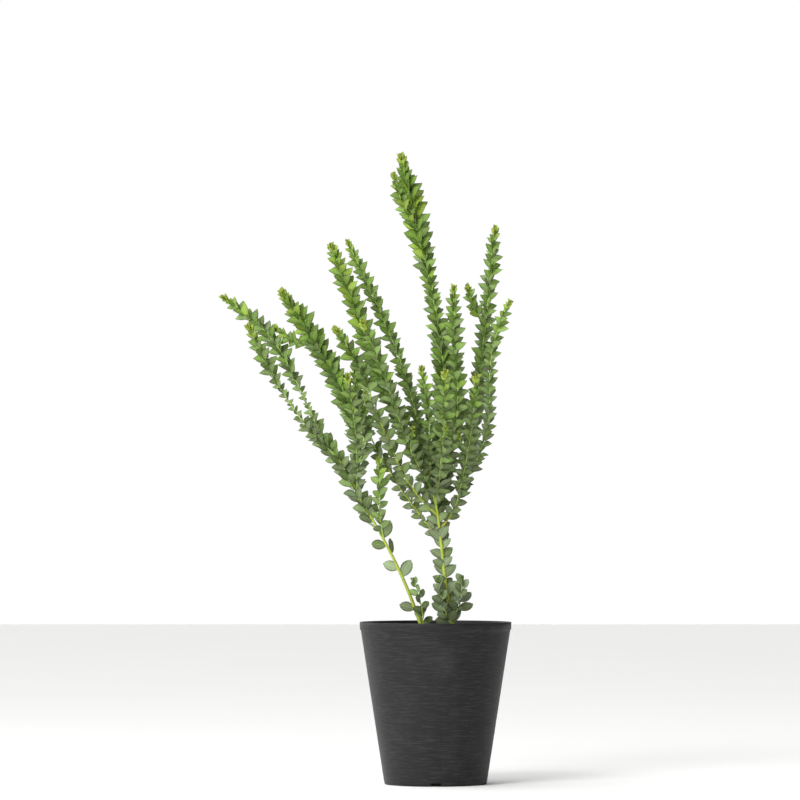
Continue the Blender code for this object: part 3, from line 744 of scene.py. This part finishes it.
def makeLeaves():
    shelf = makeShelf("bladeShelf")
    for shapeName, shape in bladeShapes.items():
        for fold, curl in bladeCurls:
            blade = makeBlade(f"blade{len(shelf.objects):02d}{shapeName}", shape, fold, curl)
            bpy.context.scene.collection.objects.unlink(blade)
            shelf.objects.link(blade)
    sprays = {name: [] for name in leafLooks}
    for number, (limb, line) in enumerate(limbs):
        spiralLeaves(limb, line, random.Random(growth["seed"] + number), sprays)
    tree = makeLeafTree()
    pieces = []
    for name, leaves in sprays.items():
        mesh = bpy.data.meshes.new(name)
        mesh.from_pydata([leaf.point for leaf in leaves], [], [])
        turns = mesh.attributes.new("turn", "FLOAT_VECTOR", "POINT")
        turns.data.foreach_set("vector", [value for leaf in leaves for value in leaf.turn])
        for label, kind in (("length", "FLOAT"), ("shapeIndex", "INT"), ("leafShade", "FLOAT")):
            values = [getattr(leaf, label) for leaf in leaves]
            mesh.attributes.new(label, kind, "POINT").data.foreach_set("value", values)
        item = newObject(name, mesh)
        growWith(item, tree, {"Blade shapes": shelf, "Leaf size": 1.0, "Material": leafMaterials[name]})
        pieces.append(item)
        print(name, len(leaves), "leaves,", len(item.data.polygons), "faces")
    clearShelf(shelf)
    return pieces


leafPieces = makeLeaves()


# Pot

potLook = {
    "height": 160.0, "rimWidth": 150.0, "footWidth": 101.0, "wall": 1.8, "floor": 2.5, "footRound": 1.0,
    "bandHeight": 7.5, "bandStep": 1.0, "bandDraft": 0.2, "lip": 0.8,
    "sides": 144, "lineStep": 1.35, "lineDepth": 0.05,
    "slots": 4, "slotWidth": 10.0, "slotHeight": 3.4, "slotReach": 9.0,
    "holes": 4, "holeWidth": 9.0, "holeCircle": 52.0,
    "heel": 1.5, "innerStep": 12, "lipSteps": 6, "sharpAngle": 38.0, "seed": 5,
}


def turnProfile(name, profile, sides):
    bm = bmesh.new()
    rings = []
    for radius, height in profile:
        if radius == 0.0:
            rings.append([bm.verts.new((0.0, 0.0, height * mm))] * sides)
        else:
            turns = [math.tau * n / sides for n in range(sides)]
            spots = [(radius * mm * math.cos(turn), radius * mm * math.sin(turn), height * mm) for turn in turns]
            rings.append([bm.verts.new(spot) for spot in spots])
    for low, high in zip(rings, rings[1:]):
        for n in range(sides):
            corners = [low[n], low[(n + 1) % sides], high[(n + 1) % sides], high[n]]
            bm.faces.new(list(dict.fromkeys(corners)))
    bmesh.ops.recalc_face_normals(bm, faces=bm.faces)
    mesh = bpy.data.meshes.new(name)
    bm.to_mesh(mesh)
    bm.free()
    return newObject(name, mesh)


def potRadius(height):
    foot = potLook["footWidth"] / 2
    top = potLook["rimWidth"] / 2 - potLook["bandStep"]
    return foot + (top - foot) * height / (potLook["height"] - potLook["bandHeight"])


def makePot():
    rng = random.Random(potLook["seed"])
    rim = potLook["rimWidth"] / 2
    top = potLook["height"]
    band = top - potLook["bandHeight"]
    wall, lip, floor, heel = (potLook[name] for name in ("wall", "lip", "floor", "heel"))
    profile = [(0.0, floor), (potRadius(floor) - wall - heel, floor), (potRadius(floor) - wall, floor + heel)]
    innerStep = potLook["innerStep"]
    profile += [(potRadius(height) - wall, height) for height in range(innerStep, int(band), innerStep)]
    profile.append((rim - wall - lip * 0.75, top - lip * 0.9))
    lipWide, lipHigh = lip * 0.95, lip * 0.7
    for step in range(potLook["lipSteps"] + 1):  # the rolled lip, a little flatter inside
        turn = math.pi - math.pi * step / potLook["lipSteps"]
        reach = lipWide * math.cos(turn) * (0.9 if step < potLook["lipSteps"] / 2 else 1.0)
        profile.append((rim - lipWide + reach, top - lipHigh + lipHigh * math.sin(turn)))
    draft = potLook["bandDraft"]
    profile += [(rim - 0.05, top - 2.4), (rim - draft, band + 0.5), (rim - draft - 0.35, band),
                (potRadius(band) + 0.1, band - potLook["bandStep"] * 0.6)]
    height = band - potLook["bandStep"] - 0.6
    while height > 2.6:  # fine turned lines down the wall
        profile.append((potRadius(height) - rng.random() * potLook["lineDepth"], height))
        height -= potLook["lineStep"] * rng.uniform(0.6, 1.4)
    profile += [(potRadius(1.0), 1.0), (potRadius(0.3) - 0.35, 0.3),
                (potRadius(0.0) - potLook["footRound"], 0.0), (0.0, 0.0)]
    pot = turnProfile("pottedWattlePot", profile, potLook["sides"])

    cutters = makeShelf("potCutters")
    for number in range(potLook["slots"]):
        turn = math.tau * number / potLook["slots"] - math.pi / 2
        bpy.ops.mesh.primitive_cube_add(size=1.0)
        slot = bpy.context.object
        size = Vector((2 * potLook["slotReach"], potLook["slotWidth"], 2 * potLook["slotHeight"])) * mm
        place = Matrix.Rotation(turn, 4, "Z") @ Matrix.Translation((potLook["footWidth"] / 2 * mm, 0, 0))
        slot.data.transform(place @ Matrix.Diagonal((*size, 1.0)))
        cutters.objects.link(slot)
    for number in range(potLook["holes"]):
        turn = math.tau * (number + 0.5) / potLook["holes"]
        width = potLook["holeWidth"] * mm
        bpy.ops.mesh.primitive_cylinder_add(vertices=32, radius=width / 2, depth=4 * floor * mm)
        hole = bpy.context.object
        place = Matrix.Rotation(turn, 4, "Z") @ Matrix.Translation((potLook["holeCircle"] / 2 * mm, 0, 0))
        hole.data.transform(place)
        cutters.objects.link(hole)
    cut = pot.modifiers.new("drains", "BOOLEAN")
    cut.operation = "DIFFERENCE"
    cut.operand_type = "COLLECTION"
    cut.collection = cutters
    toPlainMesh(pot)
    clearShelf(cutters)
    pot.data.shade_smooth()
    pot.data.set_sharp_from_angle(angle=math.radians(potLook["sharpAngle"]))
    return pot


potFinish = {
    "plastic": (21, 21, 23), "speck": (56, 56, 57), "line": (66, 66, 68), "dust": (74, 74, 72),
    "scuff": (92, 92, 91),
    "speckScale": 240.0, "speckShare": 0.3, "lineShare": 0.28, "dustShare": 0.22, "scuffShare": 0.4,
    "relief": 0.00016, "specular": 0.28,
}


def potMaterial():
    values = {"Ground": colour(*potFinish["plastic"]), "Speck": colour(*potFinish["speck"]),
              "Speck scale": potFinish["speckScale"], "Speck share": potFinish["speckShare"]}
    material, tree, shader, effect, bump = newMaterial("potPlastic", specks, values, "Grain", 0.00006, 0.5)
    place = addNode(tree, "ShaderNodeTexCoord").outputs["Object"]
    rings = addNoise(tree, place, 1.0, 3.0, (66.0, 66.0, 960.0), 0.6)  # short fine lines round the wall
    wide = addNoise(tree, place, 1.0, 2.0, (5.0, 5.0, 210.0))
    dust = addNoise(tree, place, 26.0, 5.0, (1.0, 1.0, 0.5), 0.62)
    scratch = addNoise(tree, place, 1.0, 4.0, (42.0, 42.0, 900.0), 0.7)
    under = effect.outputs["Colour"]
    for label, pattern, low, high in (("line", rings, 0.47, 0.66), ("dust", dust, 0.50, 0.78),
                                      ("scuff", scratch, 0.66, 0.80)):
        mask = addMask(tree, pattern, low, high, potFinish[label + "Share"])
        under = mixColour(tree, mask, under, colour(*potFinish[label]))
    tree.links.new(under, shader.inputs["Base Color"])
    height = addMath(tree, "MULTIPLY_ADD", wide, 1.2, addMath(tree, "MULTIPLY", rings, 1.4))
    height = addMath(tree, "MULTIPLY_ADD", effect.outputs["Grain"], 0.5, height)
    tree.links.new(height, bump.inputs["Height"])
    bump.inputs["Distance"].default_value = potFinish["relief"]
    shader.inputs["Specular IOR Level"].default_value = potFinish["specular"]
    tree.links.new(addMath(tree, "MULTIPLY_ADD", dust, 0.22, 0.40), shader.inputs["Roughness"])
    return material


potPiece = makePot()
potPiece.data.materials.clear()
potPiece.data.materials.append(potMaterial())
print("pot turned:", len(potPiece.data.polygons), "faces")


# Potting mix: an uneven plug with loose bark chips and a few pale grits

mixLook = {
    "edgeDrop": 3.0, "edgeWidth": 12.0, "gap": 0.4, "bottom": 128.0, "rings": 40, "sides": 120,
    "lumps": 2.0, "broadLumps": 70.0, "fineLumps": 330.0, "seed": 12,
    "chips": 900, "chipSize": 7.5, "grits": 46, "gritSize": 3.6,
    "tilt": 0.5, "smallest": 0.45, "bareEdge": 3.5,  # no chips this near the wall, in mm
}


def makeMix():
    edge = potRadius(ground - mixLook["edgeDrop"]) - potLook["wall"] - mixLook["gap"]
    profile = [(0.0, ground)]
    for index in range(1, mixLook["rings"] + 1):
        radius = edge * index / mixLook["rings"]
        drop = mixLook["edgeDrop"] * max(0.0, (radius - edge + mixLook["edgeWidth"]) / mixLook["edgeWidth"])
        profile.append((radius, ground - drop))
    bottom = mixLook["bottom"]
    profile += [(potRadius(bottom) - potLook["wall"] - mixLook["gap"], bottom), (0.0, bottom)]
    mix = turnProfile("pottingMix", profile, mixLook["sides"])
    for vertex in mix.data.vertices:
        radius = vertex.co.xy.length / mm
        if vertex.co.z > (bottom + 2.0) * mm and radius < edge - 0.5:
            broad = noise.noise(vertex.co * mixLook["broadLumps"])
            fine = noise.noise(vertex.co * mixLook["fineLumps"])
            vertex.co.z += (broad * 0.8 + fine * 0.6 - 0.55) * mixLook["lumps"] * mm
    mix.data.shade_smooth()
    return mix, edge


def makeScatterTree():
    tree, given = startTree("scatterChips", (
        ("Collection", "Chip shapes", None), ("Float", "Chip size", None),
        ("Float", "Chips per square metre", None), ("Int", "Seed", None)))
    scatter = feed(tree, addNode(tree, "GeometryNodeDistributePointsOnFaces"), {
        "Mesh": given["Geometry"], "Density": given["Chips per square metre"], "Seed": given["Seed"]})
    spread = placeShapes(tree, given["Chip shapes"], scatter["Points"])
    turn = feed(tree, addNode(tree, "FunctionNodeRandomValue", data_type="FLOAT_VECTOR"), {
        0: (-mixLook["tilt"], -mixLook["tilt"], 0.0), 1: (mixLook["tilt"], mixLook["tilt"], math.tau),
        "Seed": given["Seed"]})
    turned = feed(tree, addNode(tree, "FunctionNodeEulerToRotation"), {0: turn[0]})
    size = feed(tree, addNode(tree, "FunctionNodeRandomValue", data_type="FLOAT"),
                {2: mixLook["smallest"], 3: 1.0})
    feed(tree, spread, {"Rotation": turned[0], "Scale": addMath(tree, "MULTIPLY", size[1], given["Chip size"])})
    return finishTree(tree, spread.outputs["Instances"], given)


def makeChip(name, shelf, stretch, seed):
    bm = bmesh.new()
    bmesh.ops.create_icosphere(bm, subdivisions=1, radius=0.5)
    for vertex in bm.verts:
        vertex.co *= 1.0 + 0.35 * noise.noise(vertex.co * 2.3 + Vector((seed, 0.0, 0.0)))
        vertex.co = Vector((vertex.co.x * stretch[0], vertex.co.y * stretch[1], vertex.co.z * stretch[2]))
    mesh = bpy.data.meshes.new(name)
    bm.to_mesh(mesh)
    bm.free()
    shelf.objects.link(bpy.data.objects.new(name, mesh))


def scatterOn(name, mix, edge, amount, size, stretch, material, tree, seed):
    shelf = makeShelf("chipShelf")
    for number in range(3):
        makeChip(f"chip{number}", shelf, stretch, seed + number * 7.3)
    bm = bmesh.new()
    bm.from_mesh(mix.data)
    hidden = [face for face in bm.faces
              if face.normal.z < 0.5 or face.calc_center_median().xy.length > (edge - mixLook["bareEdge"]) * mm]
    bmesh.ops.delete(bm, geom=hidden, context="FACES")
    area = sum(face.calc_area() for face in bm.faces)
    mesh = bpy.data.meshes.new(name)
    bm.to_mesh(mesh)
    bm.free()
    item = newObject(name, mesh)
    growWith(item, tree, {"Chip shapes": shelf, "Chip size": size * mm, "Chips per square metre": amount / area,
                          "Seed": seed, "Material": material})
    clearShelf(shelf)
    return item


def mixMaterial(name, base, speck, scale):
    values = {"Ground": colour(*base), "Speck": colour(*speck), "Speck scale": scale, "Speck share": 0.8}
    return newMaterial(name, specks, values, "Grain", 0.0009, 0.9)[0]


mixPiece, mixEdge = makeMix()
mixPiece.data.materials.append(mixMaterial("pottingMixCrumb", (58, 44, 34), (108, 82, 58), 420.0))
scatterTree = makeScatterTree()
chipMaterial = mixMaterial("barkChip", (104, 74, 50), (48, 34, 26), 260.0)
gritMaterial = mixMaterial("gritStone", (176, 166, 148), (120, 112, 100), 700.0)
chipPiece = scatterOn("barkChips", mixPiece, mixEdge, mixLook["chips"], mixLook["chipSize"], (1.0, 0.45, 0.25),
                      chipMaterial, scatterTree, mixLook["seed"])
gritPiece = scatterOn("paleGrit", mixPiece, mixEdge, mixLook["grits"], mixLook["gritSize"], (1.0, 0.9, 0.8),
                      gritMaterial, scatterTree, mixLook["seed"] + 5)
print("potting mix laid:", len(chipPiece.data.polygons), "chip faces")


# Each piece rides on the part and stands for its solids

foliageNodes = [name for name in cadNodes if name.startswith(("foliage", "sprig"))]
woodyNodes = [name for name in cadNodes if name.startswith(("stem", "bough"))]
for piece in leafPieces + [shootPiece]:
    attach(piece, "root")
    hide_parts(*foliageNodes)
for piece, nodes, slotName in ((stemPiece, woodyNodes, "bark"), (potPiece, ["pot"], "pot"),
                               (mixPiece, ["soil"], "soil"), (chipPiece, ["soil"], "soil"),
                               (gritPiece, ["soil"], "soil")):
    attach(piece, "root")
    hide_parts(*nodes)
print("pieces ride on the frame")


# Studio: a pale floor, a white room, a soft key light from the left and a long lens

studio = {
    "distance": 4.8, "eyeHeight": 0.2655, "aimHeight": 0.3793, "side": -0.0351, "lens": 218.4,
    "roomLeft": 1.8, "roomRight": 0.08, "wall": 1.0, "floorSize": 14.0,
    "floorDark": (0.92, 0.92, 0.91, 1.0), "floorLight": (0.95, 0.95, 0.94, 1.0), "lampAim": (0.0, 0.0, 0.3),
}
lamps = {
    "key": {"place": (-1.25, -2.1, 1.8), "size": 1.3, "energy": 59.0},
    "fill": {"place": (1.9, -1.3, 0.9), "size": 1.2, "energy": 0.5},
}


def makeStudio():
    scene = bpy.context.scene
    bpy.ops.mesh.primitive_plane_add(size=studio["floorSize"])
    floor = bpy.context.object
    floor.name = "studioFloor"
    material = bpy.data.materials.new("studioFloor")
    material.use_nodes = True
    shader = material.node_tree.nodes["Principled BSDF"]
    tree = material.node_tree
    place = addNode(tree, "ShaderNodeTexCoord").outputs["Object"]
    mottle = addNoise(tree, place, 3.0, 3.0)
    pale = mixColour(tree, mottle, studio["floorDark"], studio["floorLight"])
    tree.links.new(pale, shader.inputs["Base Color"])
    shader.inputs["Roughness"].default_value = 0.8
    floor.data.materials.append(material)

    world = bpy.data.worlds.new("whiteRoom")
    scene.world = world
    world.use_nodes = True
    sky = world.node_tree
    lit = sky.nodes["Background"]
    lit.inputs["Color"].default_value = (1.0, 1.0, 1.0, 1.0)
    way = addNode(sky, "ShaderNodeSeparateXYZ")
    sky.links.new(addNode(sky, "ShaderNodeTexCoord").outputs["Generated"], way.inputs["Vector"])
    slope = addNode(sky, "ShaderNodeMapRange", interpolation_type="SMOOTHSTEP", clamp=True)
    sky.links.new(way.outputs["X"], slope.inputs["Value"])
    feed(sky, slope, {"From Min": -0.9, "From Max": 0.8,
                      "To Min": studio["roomLeft"], "To Max": studio["roomRight"]})
    sky.links.new(slope.outputs["Result"], lit.inputs["Strength"])
    wall = addNode(sky, "ShaderNodeBackground")
    wall.inputs["Color"].default_value = (1.0, 1.0, 1.0, 1.0)
    wall.inputs["Strength"].default_value = studio["wall"]
    choose = addNode(sky, "ShaderNodeMixShader")
    sky.links.new(addNode(sky, "ShaderNodeLightPath").outputs["Is Camera Ray"], choose.inputs[0])
    sky.links.new(lit.outputs[0], choose.inputs[1])
    sky.links.new(wall.outputs[0], choose.inputs[2])
    sky.links.new(choose.outputs[0], sky.nodes["World Output"].inputs["Surface"])

    for name, look in lamps.items():
        lamp = bpy.data.lights.new(name, "AREA")
        lamp.shape = "DISK"
        lamp.size = look["size"]
        lamp.energy = look["energy"]
        item = bpy.data.objects.new(name, lamp)
        scene.collection.objects.link(item)
        item.location = look["place"]
        item.rotation_mode = "QUATERNION"
        item.rotation_quaternion = (Vector(studio["lampAim"]) - item.location).to_track_quat("-Z", "Y")

    lens = bpy.data.cameras.new("camera")
    lens.lens = studio["lens"]
    lens.sensor_width = 36.0
    lens.clip_end = 60.0
    eye = bpy.data.objects.new("camera", lens)
    scene.collection.objects.link(eye)
    eye.location = (studio["side"], -studio["distance"], studio["eyeHeight"])
    aim = Vector((studio["side"], 0.0, studio["aimHeight"]))
    eye.rotation_mode = "QUATERNION"
    eye.rotation_quaternion = (aim - eye.location).to_track_quat("-Z", "Y")
    scene.camera = eye


makeStudio()
